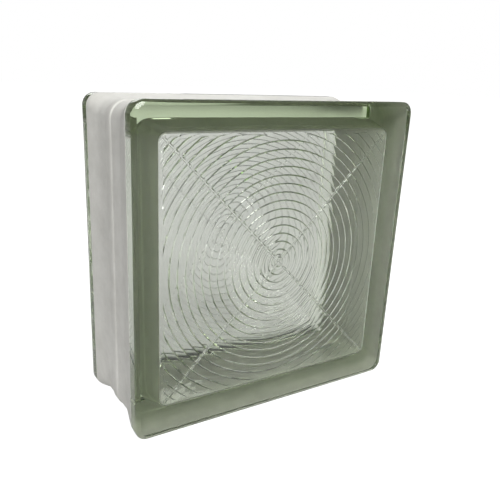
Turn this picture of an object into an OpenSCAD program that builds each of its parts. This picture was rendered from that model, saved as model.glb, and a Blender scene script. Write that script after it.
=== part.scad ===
// Hollow glass block: two pressed halves fused at mid-depth, with a coated mortar channel round the edge.
// The front face looks along -Y, the block stands on its lower rims at Z = 0.

/* [Block] */
// Width of the faces
block_w = 190; // [140:1:300]
// Height of the faces
block_h = 190; // [140:1:300]
// Depth from face to face
block_d = 80; // [70:1:100]
// Corner radius of the faces, seen from the front
corner_r = 7.5; // [6.5:0.5:14]
// Width of the rounded edge, seen on each face
edge_inset = 2.7; // [1:0.1:4]
// Depth of the rounded edge, seen on each rim
edge_depth = 2; // [1:0.1:3]

/* [Edge channel] */
// Distance from each face to the start of the slope into the channel
rim_w = 5.5; // [4:0.25:8]
// Width of the curved slope from the rim to the channel's floor
slope_w = 20; // [12:0.5:22]
// Depth of the channel's floor below the rims
channel_drop = 2.6; // [1.5:0.1:4]
// Width of the fused seam at its foot
seam_w = 8.4; // [6:0.2:12]
// Width of the fused seam at its crest
seam_crest_w = 6; // [2:0.2:6]
// Height of the fused seam above the channel's floor
seam_h = 0.5; // [0.2:0.1:1.4]

/* [Key coat] */
// Thickness of the coat in the channel
coat_t = 0.15; // [0.1:0.05:0.4]
// Width of bare glass from each face to the coat
bare_w = 9; // [8.5:0.25:14]

/* [Cavity] */
// Thickness of each face, at the valleys of its rings
face_t = 8.5; // [6:0.25:12]
// Width of solid glass from the block's edge to the cavity, at the faces
frame_w = 15.8; // [14:0.2:22]
// Corner radius of the cavity, seen from the front
cavity_r = 5.5; // [3:0.5:10]
// Fillet round the cavity's two flat sides
cavity_fillet_r = 1.5; // [0.5:0.25:2]
// Draft: how far the cavity widens from each face to the seam
cavity_draft = 5; // [1:0.25:5.5]
// Height of the inner bead along the seam
bead_h = 1.2; // [0.5:0.1:2]
// Width of the inner bead along the seam
bead_w = 6; // [3:0.5:10]

/* [Rings] */
// Plain margin from the cavity's edge to the ring pattern
pattern_margin = 2.7; // [2:0.1:8]
// Spacing of the ring lines
ring_pitch = 5; // [4:0.25:10]
// Radius of the innermost ring line
first_ring_r = 3; // [2:0.25:4]
// Height of the step at each ring line
ring_step = 0.4; // [0.1:0.05:0.6]
// Width of that step
step_w = 0.25; // [0.2:0.05:1]
// Flat width of the two diagonal lines
diagonal_w = 1; // [0.4:0.1:2]
// Width of each sloping side of the diagonal lines
diagonal_side_w = 0.3; // [0.2:0.05:1]
// Height of the diagonal lines above the foot of the rings
diagonal_rise = 0.45; // [0.2:0.05:0.8]

/* [Hidden] */

$fn = 96;
half_d = block_d / 2;
cavity_half_d = half_d - face_t;
rim_end = half_d - rim_w;
floor_end = rim_end - slope_w;
coat_end = half_d - bare_w;
cavity_w = block_w - 2 * frame_w;
cavity_h = block_h - 2 * frame_w;
pattern_w = cavity_w - 2 * pattern_margin;
pattern_h = cavity_h - 2 * pattern_margin;
pattern_reach = norm([pattern_w, pattern_h]) / 2;
ring_count = ceil((pattern_reach - first_ring_r) / ring_pitch);
// Straight steps across the rounded edge, down the channel's slope and down the hollow fall of a ring
edge_steps = 4;
slope_steps = 6;
fall_steps = 2;
fall_w = ring_pitch - step_w;
// Depth by which the raised pattern is rooted in the face
root = 1;

// Curve of the channel's slope: 0 at the rim, 1 at the floor
function slope_share(t) = t * t * (3 - 2 * t);

// Outward reach of the channel at a depth on its slope
function slope_reach(depth) = corner_r - channel_drop * slope_share((rim_end - depth) / slope_w);

// Front half of the channel, from the end of the coat to the seam's crest, as [outward, depth]
function channel_half(lift = 0) = concat(
    [for (i = [0 : slope_steps])
        let (depth = coat_end + (floor_end - coat_end) * i / slope_steps)
        [slope_reach(depth) + lift, depth]
    ],
    [
        [corner_r - channel_drop + lift, seam_w / 2],
        [corner_r - channel_drop + seam_h + lift, seam_crest_w / 2],
    ]
);

function mirrored(points) = [for (i = [len(points) - 1 : -1 : 0]) [points[i][0], -points[i][1]]];

function reversed(points) = [for (i = [len(points) - 1 : -1 : 0]) points[i]];

// Both halves of the coated channel, from its front end to its back end
function channel_floor(lift = 0) = concat(channel_half(lift), mirrored(channel_half(lift)));

// Section of the block's edge, outward from the corner axis
module edge_section() {
    rounded = [for (i = [0 : edge_steps])
        let (t = 1 - i / edge_steps)
        [corner_r - edge_inset * t * t, half_d - edge_depth * (1 - t)]
    ];
    front = concat([[0, half_d]], rounded, [[corner_r, rim_end]]);
    polygon(concat(front, channel_floor(), mirrored(front)));
}

// Section of the coat that lies in the channel
module coat_section() {
    polygon(concat(channel_floor(), reversed(channel_floor(coat_t))));
}

// Section of the cavity's edge, outward from its corner axis
module cavity_section() {
    half = [
        [0, cavity_half_d],
        [cavity_r - cavity_fillet_r, cavity_half_d],
        [cavity_r, cavity_half_d - cavity_fillet_r],
        [cavity_r + cavity_draft, bead_w / 2],
        [cavity_r + cavity_draft - bead_h, bead_w / 6],
    ];
    polygon(concat(half, mirrored(half)));
    for (side = [-1, 1])
        translate([cavity_r - cavity_fillet_r, side * (cavity_half_d - cavity_fillet_r)])
            circle(cavity_fillet_r);
}

// Carries a section round a rectangle with rounded corners
module swept_edge(w, h, r) {
    for (k = [0 : 3]) {
        across = k % 2 == 0 ? w / 2 - r : h / 2 - r;
        along = k % 2 == 0 ? h / 2 - r : w / 2 - r;
        rotate(90 * k) translate([across, along, 0]) {
            rotate_extrude(angle = 90) children();
            rotate([90, 0, 0]) linear_extrude(2 * along) children();
        }
    }
}

// Fills the middle of a swept edge
module core(w, h, r, d) {
    translate([r - w / 2, r - h / 2, -d / 2])
        cube([w - 2 * r, h - 2 * r, d]);
}

// Height of a ring, a share t down the hollow fall to the next ring line
function fall(t) = ring_step * (1 - t) * (1 - t);

// Stepped rings round the middle of a face: a steep step up at each line, then a hollow fall to the next
module rings() {
    steps = [for (k = [0 : ring_count - 1], j = [-1 : fall_steps - 1])
        let (line_r = first_ring_r + k * ring_pitch)
        j < 0 ? [line_r, 0] : [line_r + step_w + fall_w * j / fall_steps, fall(j / fall_steps)]
    ];
    middle_rise = fall(1 - first_ring_r / fall_w);
    outer_r = first_ring_r + ring_count * ring_pitch;
    rotate_extrude()
        polygon(concat([[0, -root], [0, middle_rise]], steps, [[outer_r, 0], [outer_r, -root]]));
}

// Two lines from corner to corner, as low ridges over the rings
module diagonals() {
    slant = atan2(pattern_h, pattern_w);
    foot = diagonal_w / 2 + diagonal_side_w;
    for (angle = [slant, -slant])
        rotate(angle) rotate([90, 0, 90])
            linear_extrude(2 * pattern_reach, center = true)
                polygon([
                    [-foot, -root],
                    [-foot, 0],
                    [-diagonal_w / 2, diagonal_rise],
                    [diagonal_w / 2, diagonal_rise],
                    [foot, 0],
                    [foot, -root],
                ]);
}

// Raised pattern of one face, trimmed to its window
module face_pattern() {
    intersection() {
        union() {
            rings();
            diagonals();
        }
        translate([-pattern_w / 2, -pattern_h / 2, -root])
            cube([pattern_w, pattern_h, 2 * root]);
    }
}

// Turns a face that lies flat, front up, to stand on its lower rims
module upright() {
    translate([0, 0, block_h / 2]) rotate([90, 0, 0]) children();
}

// Fused hollow glass body
module glass_block() {
    color([0.62, 0.7, 0.6, 0.55]) upright() {
        difference() {
            union() {
                swept_edge(block_w, block_h, corner_r) edge_section();
                core(block_w, block_h, corner_r, block_d);
            }
            swept_edge(cavity_w, cavity_h, cavity_r) cavity_section();
            core(cavity_w, cavity_h, cavity_r, 2 * cavity_half_d);
        }
        translate([0, 0, -cavity_half_d]) face_pattern();
        translate([0, 0, cavity_half_d]) mirror([0, 0, 1]) face_pattern();
    }
}

// White coat that keys the channel to mortar
module edge_coat() {
    color([0.88, 0.88, 0.86]) upright()
        swept_edge(block_w, block_h, corner_r) coat_section();
}

glass_block();
edge_coat();
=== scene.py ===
"""Looks of a hollow glass block: the glass with its ring relief, the white key coat, the studio and the camera."""
import math
from collections import namedtuple

import bpy
from mathutils import Matrix, Vector


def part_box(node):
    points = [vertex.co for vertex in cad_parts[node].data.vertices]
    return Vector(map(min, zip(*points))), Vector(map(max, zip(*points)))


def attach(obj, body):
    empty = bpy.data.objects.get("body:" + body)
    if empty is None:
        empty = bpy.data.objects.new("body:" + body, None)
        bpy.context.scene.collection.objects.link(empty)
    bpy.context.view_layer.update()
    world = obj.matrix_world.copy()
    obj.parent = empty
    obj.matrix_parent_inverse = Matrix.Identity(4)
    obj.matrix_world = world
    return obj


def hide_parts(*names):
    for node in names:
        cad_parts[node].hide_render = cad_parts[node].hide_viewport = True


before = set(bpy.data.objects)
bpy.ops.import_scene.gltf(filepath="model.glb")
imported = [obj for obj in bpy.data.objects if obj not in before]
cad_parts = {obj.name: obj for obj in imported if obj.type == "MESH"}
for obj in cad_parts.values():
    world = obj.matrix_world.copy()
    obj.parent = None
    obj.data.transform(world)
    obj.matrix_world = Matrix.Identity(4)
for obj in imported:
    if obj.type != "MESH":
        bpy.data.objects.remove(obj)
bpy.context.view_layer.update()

# Lengths are in millimetres unless a comment says otherwise; MM turns them into Blender's metres.
MM = 0.001
QUARTER_TURN = math.pi / 2
LOW, HIGH = (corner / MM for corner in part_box("glass_block"))
HALF_W = (HIGH.x - LOW.x) / 2
HALF_D = (HIGH.y - LOW.y) / 2
MID_Z = (HIGH.z + LOW.z) / 2

# Outline of the block: rims, edge channel and fused seam
EDGE_INSET = 2.7
EDGE_DEPTH = 2.0
RIM_CORNER_R = 7.5
CHANNEL_CORNER_R = 10.0
CHANNEL_DROP = 2.6
SHOULDER_START = 34.5
SHOULDER_END = 14.5
SEAM_HALF_W = 3.6
SEAM_RISE = 0.5
SEAM_SLOPE_W = 1.2

# Sealed cavity
FACE_T = 8.5
FRAME_W = 15.8
CAVITY_CORNER_R = 5.5
CAVITY_FILLET_R = 1.5
CAVITY_DRAFT = 5.0
BEAD_RISE = 1.2
BEAD_HALF_W = 3.0

# Ring and diagonal relief inside both faces
PATTERN_MARGIN = 2.7
RING_PITCH = 5.0
FIRST_RING_R = 3.0
RING_STEP = 0.25
DIAGONAL_ANGLE = math.pi / 4
DIAGONAL_HALF_W = 0.25
DIAGONAL_GROOVE_D = 0.22
DIAGONAL_GROOVE_W = 0.35
PATTERN_CORNER_R = 3.0
RELIEF_EDGE_W = 1.0
# Each ring line is a step, with a groove at its foot; the back face's lines are broader
RingForm = namedtuple("RingForm", "step_w groove_d groove_w")
FRONT_RINGS = RingForm(0.45, 0.25, 0.36)
BACK_RINGS = RingForm(0.72, 0.4, 0.42)

# Key coat
COAT_T = 0.15
COAT_END = 31.0
COAT_BITE = 0.05

# Mesh density
CORNER_STEPS = 12
SIDE_STEPS = 8
EDGE_STEPS = 6
SHOULDER_STEPS = 16
SEAM_STEPS = 5
CAVITY_STEPS = 6
MIDDLE_STEPS = (0.3, 0.6)
BAND_STEPS = (0.17, 0.36, 0.57, 0.78, 1.0)
DIAGONAL_OFFSETS = (0.0, 0.25, 0.43, 0.6, 0.77, 0.95, 2.2, 3.8, 6.0)
OFFSET_FAN = math.radians(3)
SECTOR_COLUMNS = 28
SMALLEST_STEP = 0.05
SEARCH_STEPS = 40
FACE_LOOP_INSET = 0.4

# Room that the glass shows: bright up to one sine of elevation, dim from another on
HORIZON_LIGHT = 0.42
HORIZON_SINE = 0.05
ROOM_LIGHT = 0.1
ROOM_SINE = 0.35
BACKDROP_LIGHT = 1.0

# Floors: half their size in metres, how much light they throw back, and the glow of the white one
FLOOR_HALF_SIZE = 8.0
WHITE_FLOOR = 0.35
WHITE_FLOOR_GLOW = 0.98
GREY_FLOOR = 0.68

# Lamps: places and sizes in metres, power in watts
Lamp = namedtuple("Lamp", "name at aim size watts")
BLOCK_MIDDLE = (0, 0, MID_Z * MM)
OVERHEAD = Lamp("overhead", (0.1, -0.1, 1.6), BLOCK_MIDDLE, (1.6, 1.6), 1.5)
FRONT_SOFTBOX = Lamp("front_softbox", (-0.2, -1.35, 1.3), BLOCK_MIDDLE, (1.2, 1.2), 38)
LEFT_SOFTBOX = Lamp("left_softbox", (-1.5, -0.2, 0.9), BLOCK_MIDDLE, (1.0, 1.0), 1.2)
FAR_FLOOR_LIGHT = Lamp("far_floor_light", (1.05, 2.1, 1.2), (1.05, 2.1, 0), (2.6, 2.4), 29)
NEAR_FLOOR_LIGHT = Lamp("near_floor_light", (0.02, 0.085, 0.19), (0.02, 0.085, 0), (0.3, 0.08), 0.15)
REAR_WINDOW = Lamp("rear_window", (0.641, 1.862, 0.447), BLOCK_MIDDLE, (0.42, 0.3), 0.5)

# Camera of the photograph
CAMERA_AT = Vector((-196.2, -301.7, 202.3))
CAMERA_AIM = Vector((3.0, 23.1, 80.5))
CAMERA_ROLL = math.radians(2.22)
CAMERA_LENS = 40.98
CAMERA_SHIFT = (0.0344, 0.0142)


def smoothstep(t):
    t = min(max(t, 0.0), 1.0)
    return t * t * (3 - 2 * t)


def channel_share(depth):
    """How far the channel has come from its rim, 0, to its floor, 1."""
    return smoothstep((SHOULDER_START - abs(depth)) / (SHOULDER_START - SHOULDER_END))


def outline_at(depth):
    """Half width and corner radius of the block's outline at a depth."""
    share = channel_share(depth)
    seam = SEAM_RISE * smoothstep((SEAM_HALF_W + SEAM_SLOPE_W / 2 - abs(depth)) / SEAM_SLOPE_W)
    drop = CHANNEL_DROP * share - seam
    corner_r = RIM_CORNER_R + (CHANNEL_CORNER_R - RIM_CORNER_R) * share
    into_edge = max(0.0, abs(depth) - (HALF_D - EDGE_DEPTH)) / EDGE_DEPTH
    rounding = EDGE_INSET * into_edge ** 2
    return HALF_W - drop - rounding, corner_r - rounding


def rounded_square(half, corner_r):
    """Points round a square with rounded corners, counter-clockwise from the right side."""
    points = []
    reach = half - corner_r
    for k in range(4):
        start = QUARTER_TURN * k
        axis = Vector((math.cos(start), math.sin(start)))
        side = Vector((-axis.y, axis.x))
        for i in range(SIDE_STEPS):
            points.append(axis * half + side * reach * (2 * i / SIDE_STEPS - 1))
        for i in range(CORNER_STEPS):
            turn = QUARTER_TURN * i / CORNER_STEPS
            round_part = axis * math.cos(turn) + side * math.sin(turn)
            points.append((axis + side) * reach + round_part * corner_r)
    return points


def ray_to_rounded_square(angle, half, corner_r):
    """Where a ray from the middle at an angle meets a square with rounded corners."""
    ray = Vector((math.cos(angle), math.sin(angle)))
    big, small = max(abs(ray.x), abs(ray.y)), min(abs(ray.x), abs(ray.y))
    reach = half - corner_r
    if small / big * half <= reach:
        return ray * (half / big)
    along = reach * (big + small)
    return ray * (along + math.sqrt(along ** 2 - 2 * reach ** 2 + corner_r ** 2))


def spread(start, end, steps):
    """Evenly spaced values from start to end, both included."""
    return [start + (end - start) * i / steps for i in range(steps + 1)]


def stand_up(point, depth):
    """A point of a face, seen from the front, at a depth: in metres, in the block's frame."""
    return Vector((point.x, depth, MID_Z + point.y)) * MM


class MeshDraft:
    """Vertices and faces of a mesh in the making."""

    def __init__(self):
        self.points = []
        self.faces = []

    def loop(self, points):
        first = len(self.points)
        self.points.extend(points)
        return list(range(first, len(self.points)))

    def join(self, a, b):
        """Quads between two closed loops of equal length."""
        n = len(a)
        for i in range(n):
            j = (i + 1) % n
            self.faces.append((a[i], a[j], b[j], b[i]))

    def chain(self, loops):
        for a, b in zip(loops, loops[1:]):
            self.join(a, b)

    def signed_volume(self, faces):
        total = 0.0
        for face in faces:
            a = self.points[face[0]]
            for i in range(1, len(face) - 1):
                total += a.dot(self.points[face[i]].cross(self.points[face[i + 1]])) / 6
        return total

    def turn_outward(self, first_face, hollow=False):
        """Turns the faces from first_face on so that they bound glass outside a hollow or inside a body."""
        part = self.faces[first_face:]
        if (self.signed_volume(part) < 0) != hollow:
            self.faces[first_face:] = [tuple(reversed(face)) for face in part]

    def to_object(self, name, sharp_deg):
        mesh = bpy.data.meshes.new(name)
        mesh.from_pydata([tuple(p) for p in self.points], [], self.faces)
        mesh.validate()
        mesh.shade_smooth()
        mesh.set_sharp_from_angle(angle=math.radians(sharp_deg))
        piece = bpy.data.objects.new(name, mesh)
        bpy.context.scene.collection.objects.link(piece)
        return piece


def edge_depths():
    """Depths of the outline's loops, from the front edge to the back edge."""
    rounding = spread(HALF_D, HALF_D - EDGE_DEPTH, EDGE_STEPS)
    shoulder = spread(SHOULDER_START, SHOULDER_END, SHOULDER_STEPS)
    floor = [SEAM_HALF_W + SEAM_SLOPE_W * 2]
    seam = spread(SEAM_HALF_W + SEAM_SLOPE_W / 2, SEAM_HALF_W - SEAM_SLOPE_W / 2, SEAM_STEPS)
    half = rounding + shoulder + floor + seam
    return [-d for d in half] + [d for d in reversed(half)]


def add_outer_shell(draft):
    first_face = len(draft.faces)
    depths = edge_depths()
    loops = []
    for depth in depths:
        half, corner_r = outline_at(depth)
        loops.append(draft.loop([stand_up(p, depth) for p in rounded_square(half, corner_r)]))
    draft.chain(loops)
    face_half, face_corner_r = outline_at(HALF_D)
    for loop, depth in ((loops[0], -HALF_D), (loops[-1], HALF_D)):
        inner_points = rounded_square(face_half - FACE_LOOP_INSET, face_corner_r - FACE_LOOP_INSET)
        inner = draft.loop([stand_up(p, depth) for p in inner_points])
        if depth < 0:
            draft.join(inner, loop)
            draft.faces.append(tuple(reversed(inner)))
        else:
            draft.join(loop, inner)
            draft.faces.append(tuple(inner))
    draft.turn_outward(first_face)


def ring_height(radius, form):
    """Height of the stepped rings: a groove and a step up at each ring line, then a hollow fall to the next."""
    past_line = (radius - FIRST_RING_R) % RING_PITCH
    left = RING_PITCH - past_line
    step = (RING_STEP + form.groove_d) * past_line / form.step_w - form.groove_d
    fall = RING_STEP * (left / (RING_PITCH - form.step_w)) ** 2
    return min(step, fall - form.groove_d * max(0.0, 1 - left / form.groove_w))


def relief_height(radius, off_diagonal, form):
    """Height of the relief: rings, with a flat strip between two grooves along each diagonal."""
    rings = ring_height(radius, form)
    past_strip = max(0.0, off_diagonal - DIAGONAL_HALF_W) / DIAGONAL_GROOVE_W
    strip = RING_STEP * (1 - past_strip)
    groove = DIAGONAL_GROOVE_D * max(0.0, 1 - abs(past_strip - 1)) * min(1.0, 1 - rings / RING_STEP)
    return max(rings, strip) - groove


def ring_radii(reach, form):
    """Radii at which the relief is sampled: the foot and top of each step and a few between."""
    radii = [FIRST_RING_R * share for share in MIDDLE_STEPS] + [FIRST_RING_R - form.groove_w]
    line = FIRST_RING_R
    fall_w = RING_PITCH - form.groove_w - form.step_w
    while line < reach:
        radii.extend((line, line + form.step_w))
        radii.extend(line + form.step_w + fall_w * share for share in BAND_STEPS)
        line += RING_PITCH
    return radii


def column_angle(sector, column, radius):
    """Angle of one column of the relief mesh at a radius; columns near a diagonal run along it."""
    last = len(DIAGONAL_OFFSETS) - 1

    def off(k):
        return min(math.asin(min(1.0, DIAGONAL_OFFSETS[k] / radius)), k * OFFSET_FAN)

    start = DIAGONAL_ANGLE + QUARTER_TURN * sector
    if column <= last:
        return start + off(column)
    if column <= last + SECTOR_COLUMNS:
        share = (column - last) / (SECTOR_COLUMNS + 1)
        return start + off(last) + (QUARTER_TURN - 2 * off(last)) * share
    return start + QUARTER_TURN - off(2 * last + SECTOR_COLUMNS + 1 - column)


def end_radius(sector, column, half):
    """Radius at which a column meets the edge of the pattern's window, found by halving a range."""
    # From just inside the middle of a side to just past a corner
    low, high = half * 0.9, half * 1.5
    for _ in range(SEARCH_STEPS):
        mid = (low + high) / 2
        angle = column_angle(sector, column, mid)
        if mid < ray_to_rounded_square(angle, half, PATTERN_CORNER_R).length:
            low = mid
        else:
            high = mid
    return low


def relief_columns(half, form):
    """For each column of the relief, its list of (point, height) from the first radius to the window's edge."""
    radii = ring_radii(half * math.sqrt(2), form)
    columns = []
    per_sector = 2 * len(DIAGONAL_OFFSETS) - 1 + SECTOR_COLUMNS
    for sector in range(4):
        for column in range(per_sector):
            reach = end_radius(sector, column, half)
            samples = []
            for radius in [r for r in radii if r < reach - SMALLEST_STEP] + [reach]:
                angle = column_angle(sector, column, radius)
                turn = angle - DIAGONAL_ANGLE
                off = radius * abs(math.sin(turn - QUARTER_TURN * round(turn / QUARTER_TURN)))
                point = Vector((math.cos(angle), math.sin(angle))) * radius
                samples.append((point, relief_height(radius, off, form)))
            columns.append(samples)
    return columns


def add_relief(draft, columns, front):
    """One inner face with its relief. Returns the loop of vertices round the pattern's window."""
    plane = HALF_D - FACE_T
    side = -1 if front else 1

    def place(point, height):
        return stand_up(point, side * (plane - height))

    middle = draft.loop([place(Vector((0, 0)), RING_STEP)])[0]
    rows = [draft.loop([place(p, h) for p, h in column]) for column in columns]
    for j, row in enumerate(rows):
        after = rows[(j + 1) % len(rows)]
        faces = [(middle, row[0], after[0])]
        shared = min(len(row), len(after))
        for i in range(shared - 1):
            faces.append((row[i], row[i + 1], after[i + 1], after[i]))
        for i in range(shared - 1, len(row) - 1):
            faces.append((row[i], row[i + 1], after[-1]))
        for i in range(shared - 1, len(after) - 1):
            faces.append((row[-1], after[i + 1], after[i]))
        draft.faces.extend([tuple(reversed(f)) for f in faces] if front else faces)
    return [row[-1] for row in rows]


def cavity_sections():
    """(half width, corner radius, depth) of the cavity's loops, from its flat side to the seam."""
    half = HALF_W - FRAME_W
    plane = HALF_D - FACE_T
    sections = []
    for turn in spread(0, QUARTER_TURN, CAVITY_STEPS):
        inset = CAVITY_FILLET_R * (1 - math.sin(turn))
        depth = plane - CAVITY_FILLET_R * (1 - math.cos(turn))
        sections.append((half - inset, CAVITY_CORNER_R - inset, depth))
    wall_top = plane - CAVITY_FILLET_R
    for depth in spread(wall_top, BEAD_HALF_W, CAVITY_STEPS)[1:]:
        widening = CAVITY_DRAFT * (wall_top - depth) / (wall_top - BEAD_HALF_W)
        sections.append((half + widening, CAVITY_CORNER_R + widening, depth))
    for depth in spread(BEAD_HALF_W, 0, CAVITY_STEPS)[1:]:
        widening = CAVITY_DRAFT - BEAD_RISE * smoothstep(1 - depth / BEAD_HALF_W)
        sections.append((half + widening, CAVITY_CORNER_R + widening, depth))
    return sections


def add_cavity(draft):
    first_face = len(draft.faces)
    window_half = HALF_W - FRAME_W - PATTERN_MARGIN
    front = relief_columns(window_half, FRONT_RINGS)
    back = relief_columns(window_half, BACK_RINGS)
    ends = [column[-1][0] for column in front]
    angles = [math.atan2(p.y, p.x) for p in ends]
    plane = HALF_D - FACE_T
    rim = [
        ray_to_rounded_square(a, window_half + RELIEF_EDGE_W, PATTERN_CORNER_R + RELIEF_EDGE_W)
        for a in angles
    ]
    sections = cavity_sections()
    chains = []
    for side in (-1, 1):
        loops = [add_relief(draft, front if side < 0 else back, front=side < 0)]
        loops.append(draft.loop([stand_up(p, side * plane) for p in rim]))
        for half, corner_r, depth in sections if side < 0 else sections[:-1]:
            points = [ray_to_rounded_square(a, half, corner_r) for a in angles]
            loops.append(draft.loop([stand_up(p, side * depth) for p in points]))
        chains.append(loops)
    draft.chain(chains[0] + list(reversed(chains[1])))
    draft.turn_outward(first_face, hollow=True)


def make_glass():
    draft = MeshDraft()
    add_outer_shell(draft)
    add_cavity(draft)
    return draft.to_object("glass_body", sharp_deg=20)


def make_coat():
    """Thin band in the channel; its inner side bites a little into the glass, as paint wets it."""
    draft = MeshDraft()
    depths = [d for d in edge_depths() if abs(d) < COAT_END]
    depths = [-COAT_END] + depths + [COAT_END]
    loops = []
    for lift in (COAT_T, -COAT_BITE):
        for depth in depths if lift > 0 else reversed(depths):
            half, corner_r = outline_at(depth)
            points = rounded_square(half + lift, corner_r + lift)
            loops.append(draft.loop([stand_up(p, depth) for p in points]))
    draft.chain(loops + [loops[0]])
    draft.turn_outward(0)
    return draft.to_object("edge_coat_band", sharp_deg=60)


def new_material(name):
    material = bpy.data.materials.new(name)
    material.use_nodes = True
    nodes = material.node_tree.nodes
    return material, nodes, material.node_tree.links, nodes["Principled BSDF"]


def glass_material():
    """Clear pressed glass with a faint ripple, tinted by the way that light takes through it."""
    material, nodes, links, shader = new_material("green_tinted_glass")
    shader.inputs["Base Color"].default_value = (1, 1, 1, 1)
    shader.inputs["Roughness"].default_value = 0.0
    shader.inputs["IOR"].default_value = 1.52
    shader.inputs["Transmission Weight"].default_value = 1.0
    place = nodes.new("ShaderNodeTexCoord")
    waves = nodes.new("ShaderNodeTexNoise")
    waves.inputs["Scale"].default_value = 35
    waves.inputs["Detail"].default_value = 1
    ripple = nodes.new("ShaderNodeBump")
    ripple.inputs["Strength"].default_value = 0.4
    ripple.inputs["Distance"].default_value = 0.0005
    links.new(place.outputs["Object"], waves.inputs["Vector"])
    links.new(waves.outputs["Fac"], ripple.inputs["Height"])
    links.new(ripple.outputs["Normal"], shader.inputs["Normal"])
    absorption = nodes.new("ShaderNodeVolumeAbsorption")
    absorption.inputs["Color"].default_value = (0.64, 0.805, 0.42, 1)
    absorption.inputs["Density"].default_value = 12.0
    links.new(absorption.outputs["Volume"], nodes["Material Output"].inputs["Volume"])
    return material


def coat_material():
    """Brushed-on white coat: broad uneven patches with a fine grain over them."""
    material, nodes, links, shader = new_material("white_key_coat")
    place = nodes.new("ShaderNodeTexCoord")
    patches = nodes.new("ShaderNodeTexNoise")
    patches.inputs["Scale"].default_value = 60
    patches.inputs["Detail"].default_value = 5
    patches.inputs["Roughness"].default_value = 0.65
    ramp = nodes.new("ShaderNodeValToRGB")
    ramp.color_ramp.elements[0].position = 0.3
    ramp.color_ramp.elements[0].color = (0.64, 0.632, 0.588, 1)
    ramp.color_ramp.elements[1].position = 0.7
    ramp.color_ramp.elements[1].color = (0.78, 0.772, 0.728, 1)
    grain = nodes.new("ShaderNodeTexNoise")
    grain.inputs["Scale"].default_value = 320
    grain.inputs["Detail"].default_value = 3
    broad_bump = nodes.new("ShaderNodeBump")
    broad_bump.inputs["Strength"].default_value = 0.6
    broad_bump.inputs["Distance"].default_value = 0.0006
    fine_bump = nodes.new("ShaderNodeBump")
    fine_bump.inputs["Strength"].default_value = 0.3
    fine_bump.inputs["Distance"].default_value = 0.0002
    links.new(place.outputs["Object"], patches.inputs["Vector"])
    links.new(place.outputs["Object"], grain.inputs["Vector"])
    links.new(patches.outputs["Fac"], ramp.inputs["Fac"])
    links.new(patches.outputs["Fac"], broad_bump.inputs["Height"])
    links.new(grain.outputs["Fac"], fine_bump.inputs["Height"])
    links.new(broad_bump.outputs["Normal"], fine_bump.inputs["Normal"])
    links.new(ramp.outputs["Color"], shader.inputs["Base Color"])
    links.new(fine_bump.outputs["Normal"], shader.inputs["Normal"])
    shader.inputs["Roughness"].default_value = 0.55
    return material


def floor_material(name, brightness, glow):
    material, _, _, shader = new_material(name)
    shader.inputs["Base Color"].default_value = (brightness, brightness, brightness, 1)
    shader.inputs["Roughness"].default_value = 0.8
    shader.inputs["Specular IOR Level"].default_value = 0.1
    shader.inputs["Emission Color"].default_value = (1, 1, 1, 1)
    shader.inputs["Emission Strength"].default_value = glow
    return material


def make_floor(name, brightness, glow=0.0):
    size = FLOOR_HALF_SIZE
    mesh = bpy.data.meshes.new(name)
    corners = [(-size, -size, 0), (size, -size, 0), (size, size, 0), (-size, size, 0)]
    mesh.from_pydata(corners, [], [(0, 1, 2, 3)])
    floor = bpy.data.objects.new(name, mesh)
    bpy.context.scene.collection.objects.link(floor)
    floor.location.z = LOW.z * MM
    mesh.materials.append(floor_material(name, brightness, glow))
    return floor


def make_floors():
    """A white floor for the direct view, and a greyer one for the light and the glass. Returns the greyer one."""
    white = make_floor("white_floor", WHITE_FLOOR, glow=WHITE_FLOOR_GLOW)
    grey = make_floor("grey_floor", GREY_FLOOR)
    white.visible_diffuse = white.visible_glossy = white.visible_transmission = white.visible_shadow = False
    grey.visible_camera = grey.visible_shadow = False
    return grey


def make_world():
    """A dim room, lighter near the horizon, behind a white backdrop that only the direct view meets."""
    world = bpy.data.worlds.new("studio")
    bpy.context.scene.world = world
    world.use_nodes = True
    nodes, links = world.node_tree.nodes, world.node_tree.links
    place = nodes.new("ShaderNodeTexCoord")
    split = nodes.new("ShaderNodeSeparateXYZ")
    room = nodes.new("ShaderNodeMapRange")
    room.inputs["From Min"].default_value = HORIZON_SINE
    room.inputs["From Max"].default_value = ROOM_SINE
    room.inputs["To Min"].default_value = HORIZON_LIGHT
    room.inputs["To Max"].default_value = ROOM_LIGHT
    path = nodes.new("ShaderNodeLightPath")
    view = nodes.new("ShaderNodeMapRange")
    view.inputs["To Max"].default_value = BACKDROP_LIGHT
    background = nodes["Background"]
    background.inputs["Color"].default_value = (1, 1, 1, 1)
    links.new(place.outputs["Generated"], split.inputs["Vector"])
    links.new(split.outputs["Z"], room.inputs["Value"])
    links.new(path.outputs["Is Camera Ray"], view.inputs["Value"])
    links.new(room.outputs["Result"], view.inputs["To Min"])
    links.new(view.outputs["Result"], background.inputs["Strength"])


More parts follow.
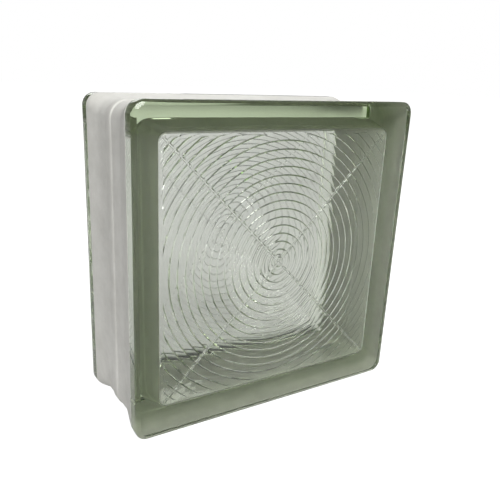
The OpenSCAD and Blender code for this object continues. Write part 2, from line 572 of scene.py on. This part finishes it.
def add_lamp(lamp):
    light = bpy.data.lights.new(lamp.name, "AREA")
    light.shape = "RECTANGLE"
    light.size, light.size_y = lamp.size
    light.energy = lamp.watts
    lit = bpy.data.objects.new(lamp.name, light)
    bpy.context.scene.collection.objects.link(lit)
    lit.location = lamp.at
    lit.rotation_euler = (Vector(lamp.aim) - Vector(lamp.at)).to_track_quat("-Z", "Y").to_euler()
    return lit


def shine_only_on(lamp, target):
    receivers = bpy.data.collections.new(lamp.name + "_receivers")
    receivers.objects.link(target)
    lamp.light_linking.receiver_collection = receivers


def make_lamps(floor):
    """Soft light from above, the front and the left, and lamps behind the block for what the glass shows."""
    for lamp in (OVERHEAD, FRONT_SOFTBOX, LEFT_SOFTBOX):
        add_lamp(lamp)
    far = add_lamp(FAR_FLOOR_LIGHT)
    near = add_lamp(NEAR_FLOOR_LIGHT)
    window = add_lamp(REAR_WINDOW)
    window.visible_camera = near.visible_camera = False
    far.visible_transmission = near.visible_transmission = False
    shine_only_on(near, floor)


def make_camera():
    camera = bpy.data.cameras.new("camera")
    camera.sensor_width = 36
    camera.lens = CAMERA_LENS
    camera.shift_x, camera.shift_y = CAMERA_SHIFT
    camera.clip_start = 0.01
    eye = bpy.data.objects.new("camera", camera)
    bpy.context.scene.collection.objects.link(eye)
    aim = (CAMERA_AIM - CAMERA_AT).to_track_quat("-Z", "Y").to_matrix()
    turn = aim @ Matrix.Rotation(CAMERA_ROLL, 3, "Z")
    eye.matrix_world = Matrix.Translation(CAMERA_AT * MM) @ turn.to_4x4()
    bpy.context.scene.camera = eye


def set_light_paths():
    """Enough bounces for light to find its way through the walls and the cavity."""
    cycles = bpy.context.scene.cycles
    cycles.max_bounces = 40
    cycles.transmission_bounces = 40
    cycles.glossy_bounces = 24
    cycles.diffuse_bounces = 8
    cycles.use_denoising = True
    bpy.context.scene.view_settings.view_transform = "Standard"


make_camera()
make_world()
make_lamps(make_floors())
set_light_paths()

glass = make_glass()
glass.data.materials.append(glass_material())
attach(glass, "root")
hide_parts("glass_block")

coat = make_coat()
coat.data.materials.append(coat_material())
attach(coat, "root")
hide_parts("edge_coat")
